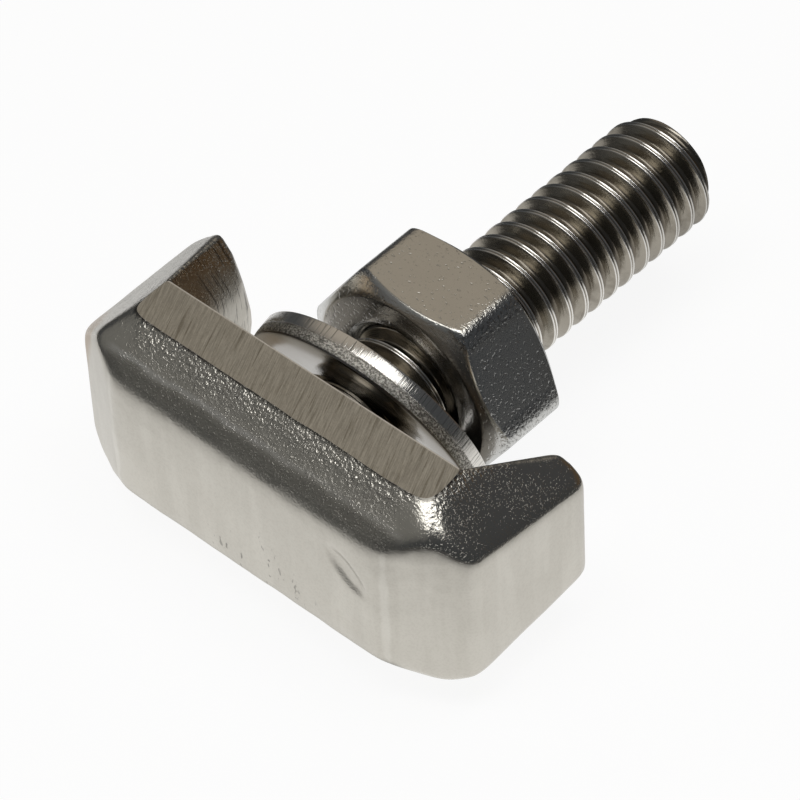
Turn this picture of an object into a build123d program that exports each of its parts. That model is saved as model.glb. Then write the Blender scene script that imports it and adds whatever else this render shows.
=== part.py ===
# T-slot bolt with a hooked hammer head, a loose flat washer and a hexagon nut.
# Millimetres.  The bolt axis runs along +Y, the long side of the head along X,
# and the assembly lies on its side with +Z up.
import math
import os

from build123d import *

# ------------------------------------------------------------------- stud
STUD_D = 7.87            # over the crests of a 5/16-18 UNC thread
STUD_L = 31.75           # land to the end of the stud
STUD_END_R = 3.45        # radius at the chamfered end
STUD_END_L = 0.75        # axial length of the end chamfer
NECK_R = 3.575           # unthreaded neck under the thread
NECK_L = 1.4             # land to the first crest
NECK_FLARE = 0.45        # the neck widens by this where it meets the land
PLAY = 0.06              # radial play between stud and nut

# ------------------------------------------------------------------- head
HEAD_W = 14.2            # across the two side flats
HEAD_T = 6.42            # land to back face
HEAD_END = {1: 15.6, -1: 15.95}     # axis to each end face
BACK_L = 20.8            # straight part of the back face
CHAMFER_Y = 3.45         # land to the near end of the corner chamfer
FLAT_L = 23.2            # length of a side flat along the land edge
FLAT_Y = 3.28            # depth of a side flat, land to back slope
BACK_HALF = {1: 4.62, -1: 5.3}      # back face above and below the axis
# fall of the end slopes per mm outward, by (end, side); the forging is uneven
END_SLOPE = {(1, 1): 0.717, (-1, 1): 1.02, (1, -1): 0.53, (-1, -1): 0.35}
# their fall per mm towards the hook tip
TIP_SLOPE = {(1, 1): 0.122, (-1, 1): 0.0, (1, -1): 0.122, (-1, -1): 0.1}
CORNER_R = 1.0           # plan radius of the chamfer's outer corner
BACK_CORNER_R = 2.2      # plan radius of its back corner
RIDGE_R = 1.8            # round where back slope and end slope meet
BACK_R = 1.0             # round between back slope and back face
EDGE_R = 0.6             # soft edge round the end faces

# ------------------------------------------------------------------ hooks
HOOK_ROOT = 9.6          # axis to the hook nose at the land
HOOK_NOSE = 10.75        # axis to the hook nose at its tip
HOOK_IN_Y = 5.75         # land to the inner corner of the tip
HOOK_OUT_Y = 6.75        # land to the outer corner of the tip
HOOK_TIP_R = 0.8         # outer corner of the tip in plan
BEVEL_N = {1: (-0.639, 0.443, 0.628),      # facing of the bevel inside each
           -1: (-0.665, 0.376, 0.646)}     # hook, x counted outward
BEVEL_R = 2.8            # round between bevel and nose

# ----------------------------------------------------------------- washer
WASHER_OD = 16.5
WASHER_ID = 8.84
WASHER_T = 1.70
WASHER_Y = 4.50          # centre of the washer from the land
WASHER_SAG = 0.08        # it hangs on the stud by this much
WASHER_LEAN = 16.3       # degrees, its top leans towards the head
WASHER_TURN = 3.0        # degrees, its +X side leans towards the nut
WASHER_EDGE = 0.12

# -------------------------------------------------------------------- nut
NUT_AF = 13.8            # across flats
NUT_T = 6.0
NUT_Y = 7.32             # land to the bearing face
NUT_TURN = 3.6           # degrees, top flat away from level
NUT_CHAMFER_R = 6.38     # rim of the bearing face
NUT_OUT_R = 6.45         # rim of the outer face
NUT_FACE_SLOPE = 33.0    # degrees, chamfer of the bearing face
NUT_BACK_SLOPE = 22.0    # degrees, chamfer of the outer face
NUT_SINK_R = 4.60        # rim of the countersink
NUT_CORNER_R = 0.75

BIG = 60.0


def half_space(point, normal, size=BIG):
    """Box filling everything beyond a plane, on the side its normal points to."""
    frame = Plane(origin=point, z_dir=normal)
    return frame * Pos(0, 0, size / 2) * Box(size, size, size)


def first_that_works(body, edges, radii):
    """Round the edges with the first radius the body takes."""
    edges = list(edges)
    for r in radii:
        if r <= 0 or not edges:
            break
        try:
            out = fillet(edges, r)
            if out.is_valid and out.volume > 0:
                return out
        except Exception:
            continue
    return body


# -------------------------------------------------------------------- stud
def onto_y(shape):
    """Turn the +Z build axis onto +Y."""
    return Rot(-90, 0, 0) * Rot(0, 0, -90) * shape


def revolved(points):
    """Solid of revolution about +Z from (radius, height) points."""
    face = Plane.XZ * Polygon(*points, align=None)
    return revolve(face, Axis.Z)


def stud():
    """Plain shank over the thread crests, stepped down to the neck."""
    r = STUD_D / 2
    step = r - NECK_R
    return onto_y(revolved([
        (0, -2), (NECK_R + NECK_FLARE, -2), (NECK_R + NECK_FLARE, 0), (NECK_R, NECK_FLARE),
        (NECK_R, NECK_L), (r, NECK_L + step), (r, STUD_L - STUD_END_L), (STUD_END_R, STUD_L), (0, STUD_L)]))


# -------------------------------------------------------------------- head
def facing(face, n, tol=0.02):
    """True when a flat face looks along n."""
    if face.geom_type != GeomType.PLANE:
        return False
    a = face.normal_at()
    return (a - Vector(*n).normalized()).length < tol


def edges_between(body, first, second):
    """Edges shared by a face that looks along first and one along second."""
    one = [f for f in body.faces() if facing(f, first)]
    two = [f for f in body.faces() if facing(f, second)]
    found = []
    for a in one:
        for e in a.edges():
            for b in two:
                if any(e.is_same(k) for k in b.edges()):
                    found.append(e)
    return found


def soften(body):
    """Round the forged edges, one family after another."""
    h = HEAD_W / 2
    for side in (1, -1):
        back_slope = (0, -(h - BACK_HALF[side]) / (HEAD_T - FLAT_Y), side)
        for end in (1, -1):
            end_slope = (end * END_SLOPE[end, side], TIP_SLOPE[end, side], side)
            bevel = BEVEL_N[end]
            nose = (-end * HOOK_IN_Y, HOOK_NOSE - HOOK_ROOT, 0)
            body = first_that_works(body, edges_between(body, back_slope, end_slope),
                                    (RIDGE_R, RIDGE_R * 0.7, RIDGE_R * 0.4))
            body = first_that_works(
                body, edges_between(body, (end * bevel[0], bevel[1], side * bevel[2]), nose),
                (BEVEL_R, BEVEL_R * 0.7, BEVEL_R * 0.4))
    for side in (1, -1):
        back_slope = (0, -(h - BACK_HALF[side]) / (HEAD_T - FLAT_Y), side)
        body = first_that_works(body, edges_between(body, back_slope, (0, -1, 0)),
                                (BACK_R, BACK_R * 0.7, BACK_R * 0.4))
        for end in (1, -1):
            end_slope = (end * END_SLOPE[end, side], TIP_SLOPE[end, side], side)
            body = first_that_works(body, edges_between(body, end_slope, (end, 0, 0)),
                                    (EDGE_R, EDGE_R * 0.7, EDGE_R * 0.4))
    return body


def slopes(body):
    """Cut the sloped shoulders that run down to the back and end faces."""
    h = HEAD_W / 2
    for side in (1, -1):
        fall = (h - BACK_HALF[side]) / (HEAD_T - FLAT_Y)
        body = body - half_space((0, -FLAT_Y, side * h), (0, -fall, side))
        for end in (1, -1):
            body = body - half_space((end * FLAT_L / 2, 0, side * h),
                                     (end * END_SLOPE[end, side], TIP_SLOPE[end, side], side))
    return body


def head():
    h = HEAD_W / 2
    plate = Polygon((-BACK_L / 2, -HEAD_T), (BACK_L / 2, -HEAD_T), (HEAD_END[1], -CHAMFER_Y),
                    (HEAD_END[1], 0), (-HEAD_END[-1], 0), (-HEAD_END[-1], -CHAMFER_Y), align=None)
    plate = fillet([v for v in plate.vertices() if v.Y < -HEAD_T + 0.01], BACK_CORNER_R)
    plate = fillet([v for v in plate.vertices() if abs(v.Y + CHAMFER_Y) < 0.01], CORNER_R)
    body = extrude(plate, h, both=True)
    hooks = []
    for end in (1, -1):
        x_end = HEAD_END[end]
        lobe = Polygon((end * HOOK_ROOT, 0), (end * HOOK_NOSE, HOOK_IN_Y),
                       (end * x_end, HOOK_OUT_Y), (end * x_end, -1.0), (end * HOOK_ROOT, -1.0), align=None)
        tip = [v for v in lobe.vertices() if abs(v.X - end * x_end) < 1e-3 and v.Y > 1]
        lobe = fillet(tip, HOOK_TIP_R)
        horn = extrude(lobe, h, both=True)
        for side in (1, -1):
            n = BEVEL_N[end]
            cut = half_space((end * FLAT_L / 2, 0, side * h), (end * n[0], n[1], side * n[2]))
            above_land = Pos(0, BIG / 2, 0) * Box(BIG * 2, BIG, BIG * 2)
            horn = horn - (cut & above_land)
        hooks.append(horn)
    body = slopes(body + hooks[0] + hooks[1])
    return soften(body)


def t_bolt():
    return head() + stud()


# ----------------------------------------------------------- washer and nut
def washer():
    ring = Cylinder(WASHER_OD / 2, WASHER_T) - Cylinder(WASHER_ID / 2, WASHER_T * 2)
    ring = chamfer(ring.edges().filter_by(GeomType.CIRCLE), WASHER_EDGE)
    lean = Rot(WASHER_LEAN, 0, 0) * Rot(0, 0, WASHER_TURN) * Rot(-90, 0, 0)
    return Pos(0, WASHER_Y, -WASHER_SAG) * lean * ring


def nut():
    corner_r = NUT_AF / math.sqrt(3)
    hexagon = RegularPolygon(corner_r, 6)
    hexagon = fillet(hexagon.vertices(), NUT_CORNER_R)
    body = extrude(hexagon, NUT_T)
    steep = math.tan(math.radians(NUT_FACE_SLOPE))
    shallow = math.tan(math.radians(NUT_BACK_SLOPE))
    reach = corner_r + 1
    turned = revolved([
        (0, 0), (NUT_CHAMFER_R, 0), (reach, (reach - NUT_CHAMFER_R) * steep),
        (reach, NUT_T - (reach - NUT_OUT_R) * shallow), (NUT_OUT_R, NUT_T), (0, NUT_T)])
    body = body & turned
    # one flat faces up, then the nut is turned a little about its axis
    body = Rot(0, 30 + NUT_TURN, 0) * onto_y(body)
    bore_r = STUD_D / 2 + PLAY
    sink = NUT_SINK_R - bore_r
    near, far = NUT_Y, NUT_Y + NUT_T
    # through bore, countersunk at 45 degrees from both faces
    hole = revolved([
        (0, near - 1), (NUT_SINK_R + 1, near - 1), (bore_r, near + sink),
        (bore_r, far - sink), (NUT_SINK_R + 1, far + 1), (0, far + 1)])
    return Pos(0, NUT_Y, 0) * body - onto_y(hole)


bolt = t_bolt()
PIECES = (("t_bolt", bolt), ("washer", washer()), ("nut", nut()))

if __name__ == "__main__":
    os.makedirs("parts", exist_ok=True)
    for name, piece in PIECES:
        export_step(piece, f"parts/{name}.step")
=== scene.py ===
# %% [markdown]
# # A T-slot bolt with its washer and nut
# The real object is a forged and plated hammer-head bolt. A loose flat washer leans on its
# thread and a hexagon nut is run on behind it. The frame says which body each piece rides
# on and how large the whole is. This file adds the look: rounded forged edges, a true
# rolled thread, and the plated metal.

# %% Load the frame
import bpy
import bmesh
import math
from types import SimpleNamespace
from mathutils import Matrix, Vector, noise


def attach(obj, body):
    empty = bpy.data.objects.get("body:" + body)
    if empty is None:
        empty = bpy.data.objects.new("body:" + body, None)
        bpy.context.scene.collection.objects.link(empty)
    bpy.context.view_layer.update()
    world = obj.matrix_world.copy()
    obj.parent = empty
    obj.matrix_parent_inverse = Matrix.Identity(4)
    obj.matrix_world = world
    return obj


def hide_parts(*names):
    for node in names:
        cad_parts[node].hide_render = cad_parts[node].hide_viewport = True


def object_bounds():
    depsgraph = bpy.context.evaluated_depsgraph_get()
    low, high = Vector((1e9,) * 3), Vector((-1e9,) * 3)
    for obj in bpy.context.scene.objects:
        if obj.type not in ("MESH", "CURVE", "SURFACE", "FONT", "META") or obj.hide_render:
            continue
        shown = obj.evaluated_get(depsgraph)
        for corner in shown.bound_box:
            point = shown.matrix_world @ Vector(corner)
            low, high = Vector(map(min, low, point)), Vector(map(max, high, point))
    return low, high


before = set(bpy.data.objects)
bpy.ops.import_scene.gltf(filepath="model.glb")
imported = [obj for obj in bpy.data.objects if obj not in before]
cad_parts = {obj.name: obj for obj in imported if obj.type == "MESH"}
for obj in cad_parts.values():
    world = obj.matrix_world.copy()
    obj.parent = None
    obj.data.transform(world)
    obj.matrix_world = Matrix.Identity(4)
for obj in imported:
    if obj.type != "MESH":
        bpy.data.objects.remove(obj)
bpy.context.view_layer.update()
MM = 0.001

# %% [markdown]
# Every piece is drawn in millimetres and scaled to metres once, when it is made an object.
# A finished piece keeps its object at the origin, so its place is in its mesh, and the
# patterns of its finish can be placed by the same sizes.

# %% Helpers for pieces
def object_from(name, bm):
    """Turn a bmesh into a linked object and free it."""
    mesh = bpy.data.meshes.new(name)
    bm.to_mesh(mesh)
    bm.free()
    ob = bpy.data.objects.new(name, mesh)
    bpy.context.scene.collection.objects.link(ob)
    return ob


def finish_piece(name, bm, body, replaced, sharp_over=None):
    """Scale a millimetre bmesh to metres, make it an object and hand it to the frame."""
    bmesh.ops.scale(bm, vec=(MM, MM, MM), verts=bm.verts)
    piece = object_from(name, bm)
    piece.data.shade_smooth()
    if sharp_over is not None:
        piece.data.set_sharp_from_angle(angle=math.radians(sharp_over))
    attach(piece, body)
    if replaced:
        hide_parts(*replaced)
    print(name, "faces:", len(piece.data.polygons))
    return piece


# %% [markdown]
# A bmesh operator returns verts, edges and faces in one list, so one helper picks a kind
# out of it. Another cuts a mesh along a plane, which is how most of the slopes are made.

# %% Helpers for operators
VERT, EDGE = bmesh.types.BMVert, bmesh.types.BMEdge


def only(kind, geom):
    """The verts or the edges in what an operator returned."""
    return [g for g in geom if isinstance(g, kind)]


def slice_off(bm, point, normal, near=1e-5, close=False):
    """Cut away what lies beyond a plane, and return the edges that the cut left."""
    cut = bmesh.ops.bisect_plane(bm, geom=bm.verts[:] + bm.edges[:] + bm.faces[:], dist=near,
                                 plane_co=point, plane_no=normal, clear_outer=True)
    rim = only(EDGE, cut["geom_cut"])
    if close and rim:
        bmesh.ops.holes_fill(bm, edges=rim, sides=0)
    return rim


def smoothstep(t):
    """0 up to 0, 1 from 1 on, smooth between."""
    t = min(1.0, max(0.0, t))
    return t * t * (3 - 2 * t)


def radial(v):
    return math.hypot(v.co.x, v.co.z)


def set_radial(v, r):
    """Move a vertex to a distance from the bolt's axis, which is +Y."""
    now = radial(v)
    if now > 1e-6:
        v.co.x *= r / now
        v.co.z *= r / now


# %% [markdown]
# ## The stud
# The real thread is rolled, not cut, so its flanks are smooth and its crest shows two fine
# lips with a shallow groove between them, where the metal met between the dies. A bump
# could fake it, but the outline would stay plain. So one pitch of the profile is drawn as a
# chain of edges, and bmesh's spin carries it round while it moves along the axis.

# %% Thread sizes
PITCH = 25.4 / 18        # 18 threads to the inch
THREAD_R = 3.935         # over the crests
THREAD_ROOT_R = 3.25
CREST_AT = 0.942         # distance from the land at which a crest passes +Z
STEPS_PER_TURN = 64
# (distance along the axis from the middle of a crest, radius): groove, lip, flank, root
HALF_PROFILE = [(0.0, 3.86), (0.04, 3.875), (0.085, 3.93), (0.125, 3.93), (0.165, 3.885),
                (0.20, 3.83), (0.35, 3.58), (0.49, 3.345), (0.54, 3.29), (0.60, 3.262),
                (0.66, 3.252), (PITCH / 2, THREAD_ROOT_R)]
print("thread depth in mm:", round(THREAD_R - THREAD_ROOT_R, 3))


# %% Roll a thread
def thread_bmesh(first_turn, turns, grow=0.0):
    """Helical strip about +Y: crest k passes +Z at CREST_AT + k * PITCH."""
    chain = [(-y, r) for y, r in reversed(HALF_PROFILE[1:])] + HALF_PROFILE
    bm = bmesh.new()
    start = CREST_AT + first_turn * PITCH
    verts = [bm.verts.new((0, start + y, r + grow)) for y, r in chain]
    edges = [bm.edges.new((a, b)) for a, b in zip(verts, verts[1:])]
    bmesh.ops.spin(bm, geom=verts + edges, cent=(0, 0, 0), axis=(0, 1, 0),
                   dvec=(0, PITCH / STEPS_PER_TURN, 0), angle=math.tau,
                   steps=STEPS_PER_TURN, use_merge=False)
    one_turn = bm.verts[:] + bm.edges[:] + bm.faces[:]
    for k in range(1, turns):
        copy = bmesh.ops.duplicate(bm, geom=one_turn)["geom"]
        bmesh.ops.translate(bm, vec=(0, k * PITCH, 0), verts=only(VERT, copy))
    bmesh.ops.remove_doubles(bm, verts=bm.verts, dist=1e-4)
    return bm


# %% [markdown]
# The thread grows out of a plain neck, and the stud's end is chamfered. Both are made by
# moving the strip's vertices in or out, so that the thread fades as a rolled one does.

# %% Stud sizes
STUD_END, STUD_END_R = 31.75, 3.45
CHAMFER_START = 31.0
TOOL_MARK = 0.012        # depth of the turned lines on the chamfer
TOOL_RATE = 40           # radians of that ripple in each mm
NECK_R, NECK_END = 3.575, 1.4
NECK_FLARE = 0.5         # round where the neck meets the land
RUN_IN = 1.1 * PITCH     # length over which the thread grows
INTO_HEAD = 0.3          # the stud reaches this far into the head
END_RINGS = (0.93, 0.5)  # rings on the end face, as shares of its radius


# %% Shape the stud
def stud_radius(y, r):
    """The strip's radius r after the neck, its flare and the end chamfer are shaped."""
    r = NECK_R + (r - NECK_R) * smoothstep((y - NECK_END) / RUN_IN)
    if y < NECK_FLARE:
        r = NECK_R + NECK_FLARE - math.sqrt(max(0.0, NECK_FLARE ** 2 - (NECK_FLARE - max(y, 0)) ** 2))
    if y > CHAMFER_START:
        share = (y - CHAMFER_START) / (STUD_END - CHAMFER_START)
        cone = THREAD_R + (STUD_END_R - THREAD_R) * share
        r = min(r, cone - TOOL_MARK * math.sin(TOOL_RATE * y))
    return r


def stud_bmesh():
    bm = thread_bmesh(-2, math.ceil((STUD_END - CREST_AT) / PITCH) + 3)
    slice_off(bm, (0, STUD_END, 0), (0, 1, 0))
    slice_off(bm, (0, -INTO_HEAD, 0), (0, -1, 0))
    for v in bm.verts:
        set_radial(v, stud_radius(v.co.y, radial(v)))
    rim = [e for e in bm.edges if e.is_boundary and all(v.co.y > STUD_END - 0.01 for v in e.verts)]
    for share in END_RINGS:
        out = bmesh.ops.extrude_edge_only(bm, edges=rim)["geom"]
        for v in only(VERT, out):
            set_radial(v, STUD_END_R * share)
        rim = only(EDGE, out)
    bmesh.ops.holes_fill(bm, edges=rim, sides=0)
    bmesh.ops.recalc_face_normals(bm, faces=bm.faces)
    return bm


stud_mesh = stud_bmesh()
print("stud faces:", len(stud_mesh.faces))

# %% [markdown]
# ## The head
# The real head is forged: a bar with two hooks and sloping shoulders, whose edges the
# die and the shot-blasting left round, and whose two flats were ground afterwards. It is
# made in the same order. Its plan is drawn and extruded a little too thick, planes cut
# the shoulders and booleans cut the bevels inside the hooks. A voxel remesh gives it an
# even skin, smoothing rounds the skin where the forging is soft, and two plane cuts
# grind the flats, which leaves their edges crisp and slightly uneven.
#
# The forging is uneven, so some sizes are kept by end, 1 for +X and -1 for -X, by side,
# 1 for +Z and -1 for -Z, or by both.

# %% Head sizes
HALF_W = 7.1                         # axis to each ground flat
HEAD_T = 6.42                        # land to back face
HEAD_END = {1: 15.6, -1: 15.95}      # axis to each end face
BACK_L = 20.8                        # straight part of the back face
CHAMFER_Y = 3.45                     # land to the near end of the corner chamfer
FLAT_HALF = 11.6                     # half of a flat's length along the land
FLAT_Y = 3.28                        # depth of a flat, land to back slope
SLOPE_DEEP = HEAD_T - FLAT_Y
BACK_HALF = {1: 4.62, -1: 5.3}       # back face above and below the axis
# fall of the end slopes for each mm outward, and for each mm towards the hook's tip
END_SLOPE = {(1, 1): 0.717, (-1, 1): 1.02, (1, -1): 0.53, (-1, -1): 0.35}
TIP_SLOPE = {(1, 1): 0.122, (-1, 1): 0.0, (1, -1): 0.122, (-1, -1): 0.1}
HOOK_ROOT, HOOK_NOSE = 9.6, 10.75    # axis to the nose, at the land and at its tip
HOOK_IN_Y, HOOK_OUT_Y = 5.75, 6.75   # land to the tip's inner and outer corner
# facing of the bevel inside each hook, with x counted outward
HOOK_BEVEL = {1: (-0.639, 0.443, 0.628), -1: (-0.665, 0.376, 0.646)}
SPARE = 0.55                         # left on each flat for the grinding
PLAN_CORNERS = ((-HEAD_T, 0.4), (-CHAMFER_Y, 0.5), (HOOK_OUT_Y, 1.0))    # (y, bevel)
CUTTER = 30.0                        # size of the block that cuts a hook's bevel
CUTTER_X = 2.0                       # it starts this far from the axis
print("head length in mm:", HEAD_END[1] + HEAD_END[-1])


# %% Planes of the head
def back_slope(side):
    return Vector((0, -(HALF_W - BACK_HALF[side]) / SLOPE_DEEP, side)).normalized()


def end_slope(end, side):
    return Vector((end * END_SLOPE[end, side], TIP_SLOPE[end, side], side)).normalized()


def hook_bevel(end, side):
    n = HOOK_BEVEL[end]
    return Vector((end * n[0], n[1], side * n[2])).normalized()


def flat_corner(end, side):
    """Where a flat, an end slope and a hook's bevel meet at the land."""
    return Vector((end * FLAT_HALF, 0, side * HALF_W))


# %% Block out the head
def head_bmesh():
    plan = [(-BACK_L / 2, -HEAD_T), (BACK_L / 2, -HEAD_T), (HEAD_END[1], -CHAMFER_Y),
            (HEAD_END[1], HOOK_OUT_Y), (HOOK_NOSE, HOOK_IN_Y), (HOOK_ROOT, 0),
            (-HOOK_ROOT, 0), (-HOOK_NOSE, HOOK_IN_Y), (-HEAD_END[-1], HOOK_OUT_Y),
            (-HEAD_END[-1], -CHAMFER_Y)]
    bm = bmesh.new()
    bm.faces.new([bm.verts.new((x, y, -HALF_W - SPARE)) for x, y in plan])
    for y, offset in PLAN_CORNERS:
        corners = [v for v in bm.verts if abs(v.co.y - y) < 1e-4]
        bmesh.ops.bevel(bm, geom=corners, affect="VERTICES", offset=offset, segments=5,
                        profile=0.5, material=-1)
    out = bmesh.ops.extrude_face_region(bm, geom=bm.faces[:])["geom"]
    bmesh.ops.translate(bm, vec=(0, 0, 2 * (HALF_W + SPARE)), verts=only(VERT, out))
    bmesh.ops.recalc_face_normals(bm, faces=bm.faces)
    for side in (1, -1):
        slice_off(bm, (0, -FLAT_Y, side * HALF_W), back_slope(side), close=True)
        for end in (1, -1):
            slice_off(bm, flat_corner(end, side), end_slope(end, side), close=True)
    return bm


def hook_cutter(end, side):
    """The block that the bevel inside one hook takes away."""
    bm = bmesh.new()
    bmesh.ops.create_cube(bm, size=CUTTER)
    bmesh.ops.translate(bm, vec=(0, 0, CUTTER / 2), verts=bm.verts)
    turn = hook_bevel(end, side).to_track_quat("Z", "Y").to_matrix().to_4x4()
    place = Matrix.Translation(flat_corner(end, side)) @ turn
    bmesh.ops.transform(bm, matrix=place, verts=bm.verts)
    slice_off(bm, (0, 0, 0), (0, -1, 0), close=True)
    slice_off(bm, (end * CUTTER_X, 0, 0), (-end, 0, 0), close=True)
    slice_off(bm, (0, 0, 0), (0, 0, -side), close=True)
    bmesh.ops.recalc_face_normals(bm, faces=bm.faces)
    return bm


# %% [markdown]
# A modifier is applied by asking Blender for the evaluated mesh and keeping it, so that
# nothing live is left on the piece and the next step starts from plain faces.

# %% Helpers for modifiers
def drop(ob):
    mesh = ob.data
    bpy.data.objects.remove(ob)
    bpy.data.meshes.remove(mesh)


def apply_all(ob):
    """Bake the modifiers of ob into a fresh bmesh, and drop ob."""
    graph = bpy.context.evaluated_depsgraph_get()
    mesh = bpy.data.meshes.new_from_object(ob.evaluated_get(graph))
    bm = bmesh.new()
    bm.from_mesh(mesh)
    bpy.data.meshes.remove(mesh)
    drop(ob)
    return bm


# %% Cut the hooks and lay an even skin
VOXEL = 0.15


def cut_block():
    block = object_from("head_block", head_bmesh())
    tools = [object_from("hook_cut", hook_cutter(end, side)) for end in (1, -1) for side in (1, -1)]
    for tool in tools:
        mod = block.modifiers.new("cut", "BOOLEAN")
        mod.operation, mod.solver, mod.object = "DIFFERENCE", "EXACT", tool
    mod = block.modifiers.new("skin", "REMESH")
    mod.mode, mod.voxel_size, mod.adaptivity = "VOXEL", VOXEL, 0.0
    bm = apply_all(block)
    for tool in tools:
        drop(tool)
    return bm


skin_mesh = cut_block()
print("skin verts:", len(skin_mesh.verts))

# %% [markdown]
# The real head is soft where the metal flowed freely, along its back and ends, and firm at
# the land. A bevel would round every edge alike, so a Smooth modifier is used instead, and
# a vertex group says how much each vertex follows it.

# %% How soft the forging is at a point
BLOWS = 260              # smoothing passes
CREASE_WIDE = 1.6        # mm over which a hook's inner crease is softened
LEAST_SOFT = 0.04


def crease(p):
    """1 on the line where a hook's bevel runs into its nose, fading to 0 away from it."""
    end, side = (1 if p.x > 0 else -1), (1 if p.z > 0 else -1)
    bevel = (p - flat_corner(end, side)).dot(hook_bevel(end, side))
    nose = Vector((-end * HOOK_IN_Y, HOOK_NOSE - HOOK_ROOT, 0)).normalized()
    off = (p - Vector((end * HOOK_ROOT, 0, 0))).dot(nose)
    return 1 - smoothstep(max(abs(bevel), abs(off)) / CREASE_WIDE)


def softness(p):
    """The share of the smoothing that the skin takes at p.

    Each smoothstep starts at one distance from the axis or the land, in mm, and is
    full after a second one.
    """
    firm_right = 1 - 0.5 * smoothstep((p.x - 13.0) / 2.0)
    firm_left = 1 - 0.8 * smoothstep((-p.x - 10.8) / 1.5)
    back = smoothstep((-p.y - 0.2) / 2.2) * firm_right * firm_left
    outer = smoothstep((abs(p.x) - 11.9) / 1.6) * (0.45 - 0.2 * smoothstep(p.y / 3.0))
    inner = crease(p) * smoothstep(p.y / 0.8)
    return LEAST_SOFT + (1 - LEAST_SOFT) * max(back, outer, inner)


print("softness at the back and at the land:", softness(Vector((0, -HEAD_T, 0))), softness(Vector()))

# %% [markdown]
# No forged face is quite flat. A long swell and a short ripple move the skin by a few
# hundredths of a millimetre, a low ridge runs along each back slope, and one oval dent
# lies in the back face.

# %% How uneven the forging is at a point
SWELL, SWELL_HIGH = 0.45, 0.04
RIPPLE, RIPPLE_HIGH, RIPPLE_SHIFT = 1.3, 0.015, Vector((7, 3, 1))
RIDGE_AT, RIDGE_WIDE, RIDGE_HIGH = 0.60, 0.12, 0.045     # along a back slope, 0 to 1
RIDGE_END, RIDGE_FADE = 12.0, 2.0
DENT_AT = Vector((8.3, -HEAD_T, 1.3))
DENT_LONG, DENT_WIDE, DENT_DEEP = 2.1, 1.0, 0.20
DENT_X, DENT_Z = 0.72, 0.69          # the way that the dent is turned
DENT_Y = -5.5                        # only the back face has it


def dent(p):
    """1 at the middle of the dent, 0 outside it."""
    if p.y >= DENT_Y:
        return 0.0
    d = p - DENT_AT
    along = (d.x * DENT_X - d.z * DENT_Z) / DENT_LONG
    across = (d.x * DENT_Z + d.z * DENT_X) / DENT_WIDE
    return max(0.0, 1 - along * along - across * across)


def unevenness(p):
    """How far the forged skin stands out from the true form, in mm."""
    wave = noise.noise(p * SWELL) * SWELL_HIGH + noise.noise(p * RIPPLE + RIPPLE_SHIFT) * RIPPLE_HIGH
    down = (-p.y - FLAT_Y) / SLOPE_DEEP
    ridge = RIDGE_HIGH * math.exp(-((down - RIDGE_AT) / RIDGE_WIDE) ** 2)
    ridge *= smoothstep((RIDGE_END - abs(p.x)) / RIDGE_FADE)
    return ridge + wave * softness(p) - DENT_DEEP * smoothstep(dent(p))


print("depth of the dent in mm:", DENT_DEEP * smoothstep(dent(DENT_AT)))


# %% Forge the head and grind its flats
def grind(bm):
    """Cut the spare metal off both flats, and keep the edges of the cuts sharp."""
    for side in (1, -1):
        for e in slice_off(bm, (0, 0, side * HALF_W), (0, 0, side), near=1e-4, close=True):
            e.smooth = False


def forged_head(skin):
    block = object_from("head_skin", skin)
    group = block.vertex_groups.new(name="soft")
    for v in block.data.vertices:
        group.add([v.index], softness(v.co), "REPLACE")
    mod = block.modifiers.new("blows", "SMOOTH")
    mod.factor, mod.iterations, mod.vertex_group = 0.5, BLOWS, "soft"
    bm = apply_all(block)
    bm.normal_update()
    for v in bm.verts:
        v.co += v.normal * unevenness(v.co)
    grind(bm)
    for v in bm.verts:
        v.co.x = min(HEAD_END[1], max(-HEAD_END[-1], v.co.x))
        v.co.y = max(-HEAD_T, v.co.y)
    bm.verts.layers.deform.remove(bm.verts.layers.deform.active)
    return bm


head_mesh = forged_head(skin_mesh)
print("head faces:", len(head_mesh.faces))

# %% [markdown]
# ## The washer
# The real washer is stamped: half of its rim is burnished by the die and half is torn,
# and its faces are flat with soft edges. A cylinder with a bevel would give both edges
# the same round, so a section is drawn, with the wider round on the torn side, and spun
# about its own axis. Then the whole washer is leaned as it lies, its top towards the head.

# %% Washer
WASHER_R, WASHER_BORE = 8.25, 4.42
WASHER_T = 1.70
WASHER_EDGE = 0.16       # round of the bore's edges and of the burnished rim
WASHER_STEPS = 160
WASHER_AT = (0, 4.50, -0.08)
WASHER_TURN = Matrix.Rotation(math.radians(16.3), 4, "X") @ Matrix.Rotation(math.radians(3.0), 4, "Z")


def washer_bmesh():
    t, r0, r1, e = WASHER_T / 2, WASHER_BORE, WASHER_R, WASHER_EDGE
    section = [(r0, -t + e), (r0 + e * 0.3, -t + e * 0.3), (r0 + e, -t), (r1 - 0.30, -t),
               (r1 - 0.12, -t + 0.05), (r1 - 0.02, -t + 0.22), (r1, -t + 0.4), (r1, 0.0),
               (r1, t - e), (r1 - e * 0.3, t - e * 0.3), (r1 - e, t), (r0 + e, t),
               (r0 + e * 0.3, t - e * 0.3), (r0, t - e)]
    bm = bmesh.new()
    verts = [bm.verts.new((r, y, 0)) for r, y in section]
    edges = [bm.edges.new((a, b)) for a, b in zip(verts, verts[1:] + verts[:1])]
    bmesh.ops.spin(bm, geom=verts + edges, cent=(0, 0, 0), axis=(0, 1, 0),
                   angle=math.tau, steps=WASHER_STEPS, use_merge=True)
    bmesh.ops.remove_doubles(bm, verts=bm.verts, dist=1e-4)
    bmesh.ops.recalc_face_normals(bm, faces=bm.faces)
    bmesh.ops.transform(bm, matrix=Matrix.Translation(WASHER_AT) @ WASHER_TURN, verts=bm.verts)
    return bm


washer_mesh = washer_bmesh()
print("washer faces:", len(washer_mesh.faces))

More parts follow.
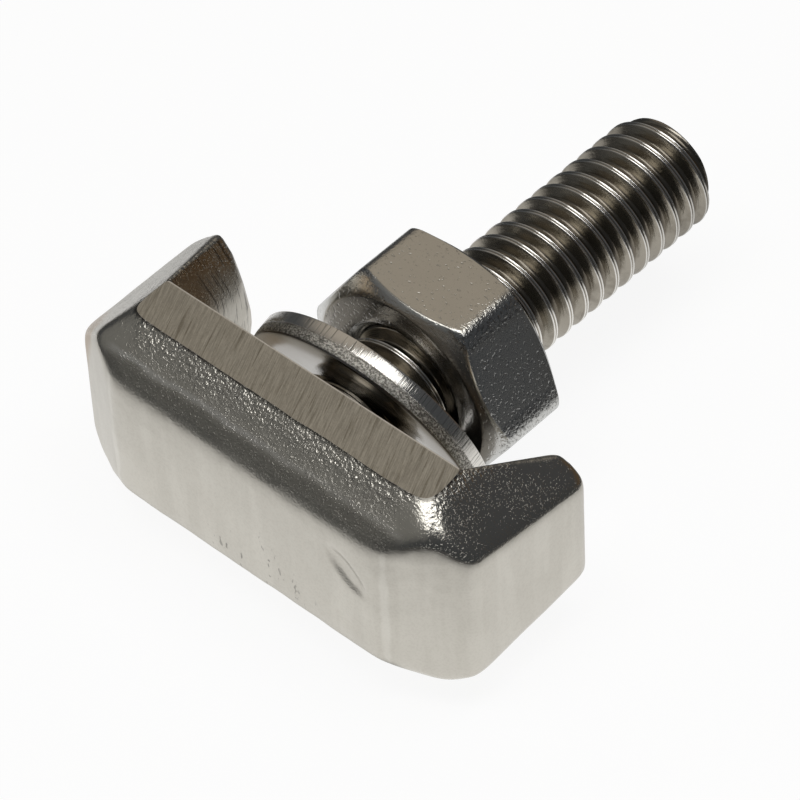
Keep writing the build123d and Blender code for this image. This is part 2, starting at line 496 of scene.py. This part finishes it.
# %% [markdown]
# ## The nut
# The real nut is cold-formed. Its corners are round, and a cone turned on each face
# leaves the curved lines that rise to each corner. A hexagon cut by two cones would need
# booleans. Here the outline is carried ring by ring from the bore out over the face, down
# the side and back in, so that the curved lines come out by themselves.

# %% Nut sizes
NUT_AF, NUT_T, NUT_Y = 13.8, 6.0, 7.32
NUT_TURN = 3.6                                  # degrees, top flat away from level
NUT_RIM, NUT_OUT_RIM = 6.38, 6.45               # where each face's cone starts
NUT_CONE, NUT_OUT_CONE = math.radians(33), math.radians(22)      # slope of each cone
NUT_SINK = 4.60                                 # rim of the countersink
NUT_CORNER = 1.15                               # round of the hexagon's corners
NUT_STEPS = 240
TWELFTH = math.pi / 6                           # from the middle of a flat to a corner


def hexagon_radius(angle):
    """Radius of the rounded hexagon at an angle measured from the middle of a flat."""
    a = (angle + TWELFTH) % (2 * TWELFTH) - TWELFTH
    flat = NUT_AF / 2
    arc_at = flat / math.cos(TWELFTH) - NUT_CORNER / math.cos(TWELFTH)
    if abs(a) <= math.atan2(arc_at * math.sin(TWELFTH), flat):
        return flat / math.cos(a)
    b = TWELFTH - abs(a)
    return arc_at * math.cos(b) + math.sqrt(NUT_CORNER ** 2 - (arc_at * math.sin(b)) ** 2)


print("nut over its corners in mm:", 2 * hexagon_radius(TWELFTH))


# %% Section of the nut
def nut_section(h):
    """(radius, height) round the nut's skin, where its hexagon has the radius h."""
    near = (h - NUT_RIM) * math.tan(NUT_CONE)
    far = (h - NUT_OUT_RIM) * math.tan(NUT_OUT_CONE)
    side, side_end = near + 0.20, NUT_T - far - 0.22
    # the bearing face, from the countersink's rim to its own
    points = [(NUT_SINK - 0.06, 0.05), (NUT_SINK + 0.05, 0.0)]
    points += [(NUT_SINK + (NUT_RIM - NUT_SINK) * k, 0.0) for k in (0.35, 0.7, 0.97)]
    # the first cone and the soft edge where it meets the side
    points += [(NUT_RIM + 0.05, 0.02)]
    points += [(NUT_RIM + (h - NUT_RIM) * k, near * k) for k in (0.35, 0.7)]
    points += [(h - 0.10, near - 0.10 * math.tan(NUT_CONE) + 0.01), (h - 0.045, near + 0.02)]
    points += [(h - 0.012, near + 0.09), (h, side)]
    # the side, then the second cone and the outer face
    points += [(h, side * (1 - k) + side_end * k) for k in (0.33, 0.66, 1.0)]
    points += [(h - 0.02, NUT_T - far - 0.11), (h - 0.09, NUT_T - far - 0.03)]
    points += [(h + (NUT_OUT_RIM - h) * k, NUT_T - far * (1 - k)) for k in (0.3, 0.6, 0.9)]
    points += [(NUT_OUT_RIM - 0.08, NUT_T), (5.6, NUT_T)]
    points += [(NUT_SINK + 0.05, NUT_T), (NUT_SINK - 0.06, NUT_T - 0.05)]
    return points


print("rings of the nut:", len(nut_section(NUT_AF / 2)))


# %% Carry the section round
def place_ring(verts, step):
    """Move a ring of vertices to one step of the section, each at its own angle."""
    for v in verts:
        a = math.atan2(v.co.x, v.co.z)
        r, y = nut_section(hexagon_radius(a - math.radians(NUT_TURN)))[step]
        v.co = (r * math.sin(a), NUT_Y + y, r * math.cos(a))


def nut_bmesh():
    bm = bmesh.new()
    first = bmesh.ops.create_circle(bm, segments=NUT_STEPS, radius=1.0)["verts"]
    bmesh.ops.rotate(bm, verts=first, cent=(0, 0, 0), matrix=Matrix.Rotation(math.radians(-90), 3, "X"))
    place_ring(first, 0)
    edges = bm.edges[:]
    for step in range(1, len(nut_section(NUT_AF / 2))):
        out = bmesh.ops.extrude_edge_only(bm, edges=edges)["geom"]
        new = set(only(VERT, out))
        place_ring(new, step)
        edges = [e for e in only(EDGE, out) if e.is_boundary and all(v in new for v in e.verts)]
    bmesh.ops.recalc_face_normals(bm, faces=bm.faces)
    outward = max(bm.faces, key=lambda f: f.calc_center_median().y)
    if outward.normal.y < 0:
        bmesh.ops.reverse_faces(bm, faces=bm.faces)
    return bm


# %% [markdown]
# The nut's own thread is the stud's profile a little larger, cut off at the two faces and
# widened there by the countersinks. Its faces look in towards the axis.

# %% Thread inside the nut
PLAY = 0.06              # radial play between stud and nut
FACE_INSET = 0.02        # the thread stops this far inside each face


def add_nut_thread(bm):
    first = math.floor((NUT_Y - CREST_AT) / PITCH) - 1
    inner = thread_bmesh(first, math.ceil(NUT_T / PITCH) + 3, PLAY)
    slice_off(inner, (0, NUT_Y + FACE_INSET, 0), (0, -1, 0))
    slice_off(inner, (0, NUT_Y + NUT_T - FACE_INSET, 0), (0, 1, 0))
    for v in inner.verts:
        depth = min(v.co.y - NUT_Y, NUT_Y + NUT_T - v.co.y)
        set_radial(v, max(radial(v), NUT_SINK - depth))
    for f in inner.faces:
        f.normal_update()
        c = f.calc_center_median()
        if f.normal.x * c.x + f.normal.z * c.z > 0:
            f.normal_flip()
    mesh = bpy.data.meshes.new("nut_thread")
    inner.to_mesh(mesh)
    inner.free()
    bm.from_mesh(mesh)
    bpy.data.meshes.remove(mesh)


nut_mesh = nut_bmesh()
add_nut_thread(nut_mesh)
print("nut faces:", len(nut_mesh.faces))

# %% [markdown]
# ## Four pieces on three bodies
# The head and the stud are one piece of metal on the real bolt. They are two pieces here,
# because their finishes differ, and both ride on the bolt's body. Only the washer and the
# nut need edges that are sharp by angle: the head's are marked and the stud has none.

# %% Hand the pieces to the frame
head = finish_piece("hammer_head", head_mesh, "bolt", ["t_bolt"])
stud = finish_piece("threaded_stud", stud_mesh, "bolt", [])
washer = finish_piece("flat_washer", washer_mesh, "washer", ["washer"], 35)
nut = finish_piece("hexagon_nut", nut_mesh, "nut", ["nut"], 28)

# %% [markdown]
# ## Finishes
# A finish is written as sums of patterns. `Wire` wraps a socket so that plain Python sums
# add the Math nodes, and `Finish.node` makes any other node from its type, its settings
# and what goes into its sockets.

# %% Sums of sockets
class Wire:
    """A node's output that can be used in Python sums."""

    def __init__(self, finish, socket):
        self.finish, self.socket = finish, socket

    def math(self, operation, a, b=0.0):
        return self.finish.node("ShaderNodeMath", {"operation": operation}, {0: a, 1: b})

    def __add__(self, other):
        return self.math("ADD", self, other)

    def __sub__(self, other):
        return self.math("SUBTRACT", self, other)

    def __rsub__(self, other):
        return self.math("SUBTRACT", other, self)

    def __mul__(self, other):
        return self.math("MULTIPLY", self, other)

    def __abs__(self):
        return self.math("ABSOLUTE", self)

    def root(self):
        return self.math("SQRT", self)

    def sign(self):
        return self.math("SIGN", self)

    __radd__, __rmul__ = __add__, __mul__


# %% [markdown]
# A Mix node keeps sockets for each kind of value that it can mix. Those for colours have
# the numbers 0, 6 and 7, and its colour comes out at 2. A Bump node's Distance is one
# millimetre, so that heights are in millimetres too.

# %% One finish
COLOUR_SHARE, COLOUR_UNDER, COLOUR_OVER, COLOUR_OUT = 0, 6, 7, 2


class Finish:
    """The node tree of a material or of the world."""

    def __init__(self, owner):
        owner.use_nodes = True
        self.owner, self.tree, self.coords = owner, owner.node_tree, {}
        self.tree.nodes.clear()

    def node(self, kind, settings=None, sockets=None, out=0):
        """Add a node and return one of its outputs."""
        node = self.tree.nodes.new(kind)
        for key, value in (settings or {}).items():
            setattr(node, key, value)
        for key, value in (sockets or {}).items():
            if isinstance(value, Wire):
                self.tree.links.new(value.socket, node.inputs[key])
            else:
                node.inputs[key].default_value = value
        return Wire(self, node.outputs[out]) if len(node.outputs) else None

    def place(self, at=(0, 0, 0), turn=(0, 0, 0)):
        """Millimetres from a point on the piece, along the piece's own turned axes."""
        key = (tuple(at), tuple(turn))
        if key not in self.coords:
            metres = self.node("ShaderNodeTexCoord", out="Object")
            self.coords[key] = self.node(
                "ShaderNodeMapping", {"vector_type": "TEXTURE"},
                {"Vector": metres, "Location": [c * MM for c in at], "Rotation": turn,
                 "Scale": (MM, MM, MM)})
        return self.coords[key]

    def parts(self, vector):
        split = self.node("ShaderNodeSeparateXYZ", None, {0: vector})
        return [Wire(self, split.socket.node.outputs[i]) for i in range(3)]

    def facing(self):
        return self.parts(self.node("ShaderNodeTexCoord", out="Normal"))

    def ramp(self, wire, low, high):
        """0 below low, 1 above high, smooth between; low may be the greater."""
        return self.node("ShaderNodeMapRange", {"interpolation_type": "SMOOTHSTEP"},
                         {"Value": wire, "From Min": low, "From Max": high})

    def noise(self, vector, scale, detail, rough):
        """Scale is one number, or three numbers where the pattern is drawn out."""
        if not isinstance(scale, float):
            vector = self.node("ShaderNodeVectorMath", {"operation": "MULTIPLY"}, {0: vector, 1: scale})
            scale = 1.0
        return self.node("ShaderNodeTexNoise", None,
                         {"Vector": vector, "Scale": scale, "Detail": detail, "Roughness": rough})

    def tint(self, amount, under, over):
        return self.node("ShaderNodeMix", {"data_type": "RGBA"},
                         {COLOUR_SHARE: amount, COLOUR_UNDER: under, COLOUR_OVER: over}, COLOUR_OUT)

    def coats(self, colour, *layers):
        """Lay (amount, colour) coats one over another."""
        for amount, over in layers:
            colour = self.tint(amount, colour, over)
        return colour

    def metal(self, colour, roughness, height):
        """Close the finish as a plated metal, and return its material."""
        bump = self.node("ShaderNodeBump", None, {"Strength": 1.0, "Distance": MM, "Height": height})
        shader = self.node("ShaderNodeBsdfPrincipled", None,
                           {"Base Color": colour, "Roughness": roughness, "Metallic": 1.0, "Normal": bump})
        self.node("ShaderNodeOutputMaterial", None, {"Surface": shader})
        return self.owner


def new_finish(name):
    return Finish(bpy.data.materials.new(name))


def wear(piece, material):
    piece.data.materials.clear()
    piece.data.materials.append(material)
    print(piece.name, "wears", material.name, "with", len(material.node_tree.nodes), "nodes")


# %% [markdown]
# ### Colours of the metal
# Nickel plate is a warm grey that goes smoky at random, and dirt gathers as soot in pits.
# Smoke, brown and soot also stand for painted shade, sheen and glint for painted highlights.

# %% Palette
NICKEL = (0.60, 0.575, 0.515, 1)
SMOKE_AND_SHADE = (0.40, 0.375, 0.325, 1)
BROWN_SHADE = (0.36, 0.27, 0.17, 1)
SOOT_AND_SHADE = (0.09, 0.085, 0.075, 1)
GRIME = (0.17, 0.15, 0.11, 1)
GLINT = (0.95, 0.93, 0.90, 1)
PALE_SHEEN = (0.80, 0.78, 0.72, 1)
print("grey of the nickel:", round(sum(NICKEL[:3]) / 3, 3))

# %% [markdown]
# ### The forged head
# The real head has three finishes. Its flats are ground, with fine lines across them and
# a warm cast. Its slopes are shot-blasted, so they sparkle. Its back and ends are rubbed
# to an even satin with a few pits. Painting masks by hand would tie them to one mesh. The
# surface's own facing tells the finishes apart, and its place tells the marks apart.

# %% Patterns on the head
GRIND_TURN = math.radians(24)        # the ground lines run this far from straight across


def head_patterns(f):
    p = f.place()
    ground = f.place((0, 0, 0), (0, 0, GRIND_TURN))
    return SimpleNamespace(
        cloud=f.noise(p, 0.35, 3.0, 0.6),
        grit=f.noise(p, 6.5, 2.0, 0.55),
        pebble=f.noise(p, 4.2, 1.0, 0.5),
        fleck=f.ramp(f.noise(p, 7.5, 1.0, 0.5), 0.58, 0.66),
        lines=f.noise(ground, (11.0, 0.45, 11.0), 4.0, 0.8),
        deep_lines=f.noise(ground, (4.5, 0.22, 4.5), 2.0, 0.6),
        rake=f.noise(p, (0.3, 5.5, 0.3), 3.0, 0.7),
        nick=f.noise(p, (3.2, 3.2, 1.1), 2.0, 0.6),
        bands=f.noise(p, (0.7, 0.7, 0.07), 2.0, 0.6))


# %% [markdown]
# Each zone is a mask: 1 where a finish lies, 0 elsewhere, with a soft border. The flats
# face up or down, the walls face sideways, and the blasted slopes are what is left.

# %% Zones of the head
def head_zones(f):
    x, y, z = f.parts(f.place())
    nx, _, nz = f.facing()
    flat = f.ramp(abs(nz), 0.985, 0.996)
    wall = f.ramp(abs(nz), 0.45, 0.15)
    middle = f.ramp(abs(x), 12.0, 11.0)
    return SimpleNamespace(
        x=x, y=y, z=z, flat=flat, wall=wall, middle=middle,
        blast=(1 - flat) * (1 - wall),
        below=HALF_W - abs(z),
        inward=f.ramp(nx * x.sign(), -0.30, -0.50) * f.ramp(y, 0.0, 0.3),
        turning=f.ramp(abs(nz), 0.10, 0.35) * f.ramp(abs(nz), 0.76, 0.62) * middle,
        patch=f.ramp(abs(abs(x) - 11.6) + abs(y + 4.4) * 0.6, 2.0, 0.8),
        far_end=f.ramp(x, 11.8, 13.0))


# %% [markdown]
# The marks are put where they lie: pits low on the back and a tan stain at one corner.
# Painted light lies there too: a painted highlight at each end of the back face, painted
# shade in a dark line under the edge of each flat, and a painted highlight on a crest
# along the back slopes with a band of painted shade under it.

# %% Marks on the head
PITS_X, PITS_Z = 1.0, -3.6
STAIN_X, STAIN_Y, STAIN_Z = -15.3, -3.8, 3.8
SHEEN_X = 10.9
CREST_DOWN, SHADE_BAND_DOWN = 0.58, 0.78   # along a back slope, 0 at the flat, 1 at the back


def head_marks(f, zone, pattern):
    x, y, z, cloud = zone.x, zone.y, zone.z, pattern.cloud
    to_pits = abs(x - PITS_X) * 0.7 + abs(z - PITS_Z)
    to_stain = abs(x - STAIN_X) + abs(y - STAIN_Y) + abs(z - STAIN_Z) * 0.6 + (cloud - 0.5)
    # painted shade: a dark line just under each flat's edge
    seam = f.ramp(zone.below + (pattern.grit - 0.5) * 0.12, 0.15, 0.03)
    down = (-FLAT_Y - y) * (1 / SLOPE_DEEP) + (cloud - 0.5) * 0.15
    slope = zone.middle * f.ramp(down, 0.1, 0.2) * (1 - zone.wall)
    fading = f.ramp(x, 7.0, -3.0) * 0.7 + 0.3
    return SimpleNamespace(
        pits=f.ramp(pattern.nick, 0.61, 0.68) * f.ramp(to_pits, 4.5, 1.5) * zone.wall,
        stain=f.ramp(to_stain, 3.0, 1.3),
        seam=(1 - zone.flat) * seam * f.ramp(y, 0.0, -0.6),
        # painted highlight along the round at each end of the back face
        corner_sheen=zone.wall * f.ramp(abs(abs(x) - SHEEN_X) + (cloud - 0.5) * 0.8, 0.3, 0.05),
        # painted highlight on the crest of each back slope, painted shade in the band under it
        crest=slope * f.ramp(abs(down - CREST_DOWN), 0.08, 0.01) * fading,
        shade_band=slope * f.ramp(abs(down - SHADE_BAND_DOWN), 0.22, 0.05))


# %% Colour of the head
GROUND_DARK, GROUND_PALE = (0.34, 0.32, 0.275, 1), (0.55, 0.525, 0.46, 1)
LAND_EDGE_SHEEN = (0.85, 0.83, 0.78, 1)
TAN = (0.40, 0.29, 0.18, 1)


def head_colour(f, zone, pattern, mark):
    flat, inward, y = zone.flat, zone.inward, zone.y
    dapple = f.ramp(pattern.bands, 0.62, 0.42) * 0.16 + f.ramp(pattern.grit, 0.45, 0.62) * 0.14 - 0.12
    ground = f.tint(f.ramp(pattern.lines, 0.32, 0.68), GROUND_DARK, GROUND_PALE)
    mottle = f.ramp(pattern.deep_lines, 0.56, 0.68) * 0.5 + f.ramp(pattern.grit, 0.52, 0.66) * 0.15
    # painted shade inside the hooks, browner nearer the land and the flats
    deep_shade = f.ramp(y - abs(zone.z) * 0.6, 2.0, -2.6)
    streaks = f.ramp(pattern.rake, 0.47, 0.40) * f.ramp(y, 1.0, 3.0)
    return f.coats(
        NICKEL,
        (pattern.cloud * 0.25 + zone.wall * dapple, SMOKE_AND_SHADE),
        (flat, ground),
        (flat * mottle, GRIME),
        # painted highlight: a bright line along each flat's edge at the land
        (flat * f.ramp(y, -0.13, -0.05) * 0.8, LAND_EDGE_SHEEN),
        # painted shade inside the hooks: smoky all over, brown deeper in
        (inward * 0.35, SMOKE_AND_SHADE),
        (inward * deep_shade * 0.9, BROWN_SHADE),
        (inward * streaks * 0.8, SOOT_AND_SHADE),
        (mark.stain * 0.7, TAN),
        # painted shade along each flat's edge
        (mark.seam * 0.85, SOOT_AND_SHADE),
        (mark.pits * 0.6, SOOT_AND_SHADE),
        # painted highlight at each end of the back face
        (mark.corner_sheen * 0.25, PALE_SHEEN),
        # painted highlight on the crest, then painted shade in the band under it
        (mark.crest * 0.4, GLINT),
        (mark.shade_band * 0.45, SOOT_AND_SHADE))


# %% [markdown]
# The relief is what makes blasted metal sparkle: grit and pebble under shot, strongest
# near the flats, with single flecks that catch the light. The walls are almost smooth.

# %% Relief of the head
def head_height(f, zone, pattern, mark):
    near_flat = f.ramp(zone.below, 1.5, 0.3) * 0.8 + 0.2
    shot = zone.blast * near_flat * (1 - zone.patch * 0.75) * (1 - zone.far_end * 0.7)
    height = pattern.lines * zone.flat * 0.02
    height = height + pattern.grit * (shot * 0.035 + 0.003) + pattern.pebble * (shot * 0.095 + 0.004)
    sparkle = f.ramp(zone.y + (zone.x - 12.0) * 0.9, 1.5, -1.5) * 0.5
    sparkle = sparkle + f.ramp(pattern.cloud, 0.45, 0.6) * 0.3 + 0.2
    height = height + pattern.fleck * zone.blast * sparkle * (1 - zone.patch * 0.8) * 0.015
    height = height + pattern.grit * zone.turning * 0.03 + pattern.rake * zone.inward * 0.006
    return height - mark.pits * 0.02 + pattern.cloud * 0.02


def head_roughness(zone, pattern):
    rough = 0.26 + pattern.cloud * 0.08 + zone.flat * 0.06 + zone.wall * 0.06
    return rough - zone.blast * 0.05 + zone.turning * 0.16 - zone.far_end * zone.blast * 0.05


# %% Finish the head
def head_finish():
    f = new_finish("plated_forging")
    zone, pattern = head_zones(f), head_patterns(f)
    mark = head_marks(f, zone, pattern)
    return f.metal(head_colour(f, zone, pattern, mark), head_roughness(zone, pattern),
                   head_height(f, zone, pattern, mark))


wear(head, head_finish())

# %% [markdown]
# ### The rolled stud
# The real thread was rolled, then plated: its flanks are smooth and bright, with fine
# scores along the turns. Painted shade darkens the roots and painted highlights pale the lips.
# Wrapping a flat pattern round the stud would leave a seam. The distance from the axis
# tells root from lip without one.

# %% Finish the stud
THREAD_PALE, THREAD_DARK_AND_SHADE = (0.44, 0.41, 0.35, 1), (0.17, 0.15, 0.12, 1)
LIP_SHEEN = (0.92, 0.90, 0.86, 1)


def stud_finish():
    f = new_finish("rolled_thread")
    p = f.place()
    x, y, z = f.parts(p)
    out = (x * x + z * z).root()
    cloud = f.noise(p, 0.7, 3.0, 0.6)
    grit = f.noise(p, 5.0, 2.0, 0.6)
    turns = f.node("ShaderNodeCombineXYZ", None, {0: out * 9.0, 1: y * 7.0, 2: cloud * 2.0})
    score = f.noise(turns, 1.0, 3.0, 0.6)
    root = f.ramp(out, 3.45, 3.27)
    lip = f.ramp(out, 3.86, 3.93)
    colour = f.coats(
        THREAD_PALE,
        # painted shade in the roots, over a darker tone that varies at random
        (root * 0.5 + f.ramp(cloud, 0.45, 0.7) * 0.3 + 0.4, THREAD_DARK_AND_SHADE),
        # painted highlights on the lips
        (lip * 0.9, LIP_SHEEN),
        (f.ramp(score, 0.56, 0.70) * 0.35, SOOT_AND_SHADE))
    rough = 0.16 + cloud * 0.08 + root * 0.06 - lip * 0.06
    return f.metal(colour, rough, grit * 0.006 + score * 0.008 + cloud * 0.01)


wear(stud, stud_finish())

# %% [markdown]
# ### The stamped washer
# The real washer's rim shows how it was punched: the side that met the die first is
# burnished, with fine lines along the stroke, and the rest is torn and rough. A Mapping
# node turns the pattern with the washer, so the two bands lie level on its rim.

# %% Finish the washer
BURNISHED = (0.76, 0.74, 0.70, 1)
SHADED_FACE = (0.26, 0.245, 0.225, 1)


def washer_finish():
    f = new_finish("stamped_plate")
    p = f.place(WASHER_AT, tuple(WASHER_TURN.to_euler()))
    x, y, z = f.parts(p)
    out = (x * x + z * z).root()
    cloud = f.noise(p, 0.6, 3.0, 0.6)
    tear = f.noise(p, (7.0, 8.4, 7.0), 3.0, 0.7)
    stroke = f.noise(p, (7.0, 0.2, 7.0), 3.0, 0.7)
    rim = f.ramp(out, WASHER_R - 0.12, WASHER_R - 0.03)
    torn = rim * f.ramp(y + (tear - 0.5) * 0.35, 0.02, -0.10)
    burnished = rim * (1 - torn)
    # painted shade: a thin dark line along the rim's edge on the torn side
    rim_line_shade = f.ramp(abs(y + (WASHER_T / 2 - 0.08)), 0.09, 0.03)
    rim_line_shade = rim_line_shade * f.ramp(out, WASHER_R - 0.3, WASHER_R - 0.15)
    colour = f.coats(
        NICKEL,
        (cloud * 0.3, SMOKE_AND_SHADE),
        (burnished * 0.6, BURNISHED),
        # painted shade in the hollows of the torn band
        (torn * f.ramp(tear, 0.58, 0.42) * 0.8, SOOT_AND_SHADE),
        (burnished * f.ramp(stroke, 0.46, 0.36) * 0.6, SOOT_AND_SHADE),
        # painted highlights on the peaks of the torn band
        (torn * f.ramp(tear, 0.55, 0.62) * 0.7, PALE_SHEEN),
        (rim_line_shade * 0.8, SOOT_AND_SHADE),
        # painted shade over both faces
        ((1 - rim) * 0.8, SHADED_FACE))
    height = torn * tear * 0.08 + burnished * stroke * 0.018 + cloud * 0.01
    return f.metal(colour, 0.14 + cloud * 0.08 + torn * 0.12, height)


wear(washer, washer_finish())

# %% [markdown]
# ### The nut
# The real nut is cold-formed and tumbled before plating: small pits and dents all over,
# corners a little bruised, and a browner cast on the face that bears on the washer. A stain
# lies on one corner of that face. Its flanks get a bluer cast as a painted reflection, and
# its corners specks of painted shade.

# %% Patterns and zones of the nut
CORNER_FROM, CORNER_TO = 7.3, 7.5    # distance from the axis
NUT_STAIN_X, NUT_STAIN_Y, NUT_STAIN_Z = -6.4, 0.8, 4.6


def nut_zones(f, p):
    x, y, z = f.parts(p)
    _, ny, nz = f.facing()
    cloud = f.noise(p, 0.45, 3.0, 0.6)
    to_stain = abs(x - NUT_STAIN_X) + abs(y - NUT_STAIN_Y) + abs(z - NUT_STAIN_Z) + (cloud - 0.5)
    flank = f.ramp(nz, 0.95, 0.75)
    pocks = f.ramp(f.noise(p, (4.0, 5.5, 4.0), 1.0, 0.4), 0.57, 0.70)
    return SimpleNamespace(
        cloud=cloud, flank=flank,
        grit=f.noise(p, 5.0, 2.0, 0.6),
        fine=f.ramp(f.noise(p, 6.0, 2.0, 0.6), 0.62, 0.70),
        dents=f.ramp(f.noise(p, (3.2, 4.6, 3.2), 1.0, 0.4), 0.64, 0.74),
        pocked=pocks * flank * (0.4 + cloud * 0.8),
        corner=f.ramp((x * x + z * z).root(), CORNER_FROM, CORNER_TO),
        bearing=f.ramp(ny, -0.75, -0.95),
        stain=f.ramp(to_stain, 2.4, 0.8))


# %% Finish the nut
NUT_TAN = (0.50, 0.36, 0.20, 1)
BEARING_BROWN = (0.45, 0.35, 0.25, 1)
BLUE_REFLECTION = (0.50, 0.53, 0.56, 1)


def nut_finish():
    f = new_finish("plated_nut")
    zone = nut_zones(f, f.place((0, NUT_Y, 0), (0, math.radians(NUT_TURN), 0)))
    colour = f.coats(
        NICKEL,
        (zone.cloud * 0.3, SMOKE_AND_SHADE),
        (zone.dents * 0.12 + zone.fine * 0.2, SOOT_AND_SHADE),
        (zone.stain * 0.6, NUT_TAN),
        (zone.bearing * 0.35, BEARING_BROWN),
        # painted reflection: a bluer cast on every face that doesn't face up
        (zone.flank * 0.45, BLUE_REFLECTION),
        # painted shade in specks along the rounded corners
        (zone.corner * f.ramp(zone.grit, 0.48, 0.62) * zone.flank * 0.5, SOOT_AND_SHADE))
    height = zone.grit * (zone.corner * 0.03 + 0.004) - zone.dents * 0.010
    height = height - zone.pocked * 0.009 + zone.cloud * 0.006
    return f.metal(colour, 0.18 + zone.cloud * 0.08, height)


wear(nut, nut_finish())

# %% [markdown]
# ## The table, the light and the camera
# Polished metal has little colour of its own: it shows the room. The table is white near
# the bolt, and the metal mirrors it as dark farther out, which gives the lower faces
# their contrast. The camera sees it glow, so that only a soft shadow shows on it.

# %% Table
TABLE_R = 0.22
TABLE_GAP = 0.00002      # the table lies this far under the lowest point
GREY_PAPER, WHITE_PAPER = (0.1, 0.1, 0.1, 1), (0.8, 0.8, 0.8, 1)
WHITE = (1, 1, 1, 1)


def table_finish():
    f = new_finish("white_table")
    camera, glossy, through = [f.node("ShaderNodeLightPath", out=f"Is {kind} Ray")
                               for kind in ("Camera", "Glossy", "Transmission")]
    seen = f.node("ShaderNodeMath", {"operation": "ADD", "use_clamp": True},
                  {0: camera + glossy, 1: through})
    x, y, _ = f.parts(f.place((0, 2, 0)))
    away = (x * x + y * y).root()
    near = f.ramp((x * x * 0.5 + y * y).root(), 50, 14)
    mirrored = glossy * (1 - near) * (1 - camera)
    glow = seen * (0.8 + 0.2 * f.ramp(away, 60, 150)) - mirrored * 0.9
    sheet = f.tint(near + camera, GREY_PAPER, WHITE_PAPER)
    paper = f.node("ShaderNodeBsdfDiffuse", None, {"Color": sheet})
    light = f.node("ShaderNodeEmission", None, {"Color": WHITE, "Strength": 1.12})
    mix = f.node("ShaderNodeMixShader", None, {0: glow, 1: paper, 2: light})
    f.node("ShaderNodeOutputMaterial", None, {0: mix})
    return f.owner


def lay_table():
    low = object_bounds()[0][2]
    bm = bmesh.new()
    bmesh.ops.create_circle(bm, cap_ends=True, segments=96, radius=TABLE_R)
    bmesh.ops.translate(bm, vec=(0, 0.01, low - TABLE_GAP), verts=bm.verts)
    floor = object_from("table", bm)
    wear(floor, table_finish())


lay_table()

# %% [markdown]
# The room is a dim studio. An image of a room could light it, but a few lobes of light,
# each round a direction, are easier to move. One is grey, to the camera's left. One is
# faint and brown, low beyond the nut. One is pale and warm, across from the camera, where
# the level flats mirror it. The camera itself sees the room as white.

# %% Room
ROOM_DIM = (0.062, 0.066, 0.072, 1)
# (direction, full within these degrees, none beyond these, colour)
LOBES = (((-0.45, -0.65, 0.60), 15, 45, (0.20, 0.20, 0.195, 1)),
         ((0.33, 0.94, 0.05), 8, 30, (0.12, 0.08, 0.045, 1)),
         ((-0.48, 0.48, 0.73), 12, 40, (0.44, 0.40, 0.35, 1)))


def light_room():
    world = bpy.data.worlds.new("studio")
    bpy.context.scene.world = world
    f = Finish(world)
    way = f.node("ShaderNodeTexCoord", out="Generated")
    tone = ROOM_DIM
    for direction, inner, outer, colour in LOBES:
        cosine = f.node("ShaderNodeVectorMath", {"operation": "DOT_PRODUCT"},
                        {0: way, 1: Vector(direction).normalized()}, "Value")
        lobe = f.ramp(cosine, math.cos(math.radians(outer)), math.cos(math.radians(inner)))
        tone = f.tint(lobe, tone, colour)
    tone = f.tint(f.node("ShaderNodeLightPath", out="Is Camera Ray"), tone, WHITE)
    room = f.node("ShaderNodeBackground", None, {"Color": tone, "Strength": 1.0})
    f.node("ShaderNodeOutputWorld", None, {0: room})
    print("lobes of light in the room:", len(LOBES))


light_room()

# %% [markdown]
# One long soft box hangs almost straight overhead. A small lamp would give the metal hard
# glints. The box draws soft bright lines along the edges that turn up towards it, and its
# shadow on the table is short and soft.

# %% Soft box
BOX_TOWARD, BOX_AWAY = (0.09, -0.06, 0.99), 0.30
BOX_LONG, BOX_WIDE, BOX_POWER = 0.33, 0.15, 0.42
BOLT_MIDDLE = Vector((0, 0.008, 0))


def hang_soft_box():
    lamp = bpy.data.lights.new("overhead_box", "AREA")
    lamp.shape, lamp.size, lamp.size_y, lamp.energy = "RECTANGLE", BOX_LONG, BOX_WIDE, BOX_POWER
    box = bpy.data.objects.new("overhead_box", lamp)
    toward = Vector(BOX_TOWARD).normalized()
    box.location = BOLT_MIDDLE + toward * BOX_AWAY
    box.rotation_euler = toward.to_track_quat("Z", "Y").to_euler()
    bpy.context.scene.collection.objects.link(box)
    print("soft box at:", [round(c, 3) for c in box.location])


hang_soft_box()

# %% [markdown]
# A long lens from some way off keeps the bolt's parallel edges nearly parallel. The camera
# looks down from behind the head, on its +X side, and is rolled a little.

# %% Camera
LENS = 233.24
CAMERA_AT = (0.148252, -0.142250, 0.225219)
CAMERA_TURN, CAMERA_RISE, CAMERA_ROLL = math.radians(44.785), math.radians(47.076), math.radians(-3.257)


def set_camera():
    view = bpy.data.cameras.new("view")
    view.lens, view.sensor_width = LENS, 36.0
    camera = bpy.data.objects.new("view", view)
    back = Vector((math.sin(CAMERA_TURN) * math.cos(CAMERA_RISE),
                   -math.cos(CAMERA_TURN) * math.cos(CAMERA_RISE), math.sin(CAMERA_RISE)))
    roll = Matrix.Rotation(CAMERA_ROLL, 4, "Z").to_quaternion()
    camera.rotation_mode = "QUATERNION"
    camera.rotation_quaternion = back.to_track_quat("Z", "Y") @ roll
    camera.location = CAMERA_AT
    bpy.context.scene.collection.objects.link(camera)
    bpy.context.scene.camera = camera
    bpy.context.scene.view_settings.view_transform = "Standard"
    print("camera at:", CAMERA_AT)


set_camera()
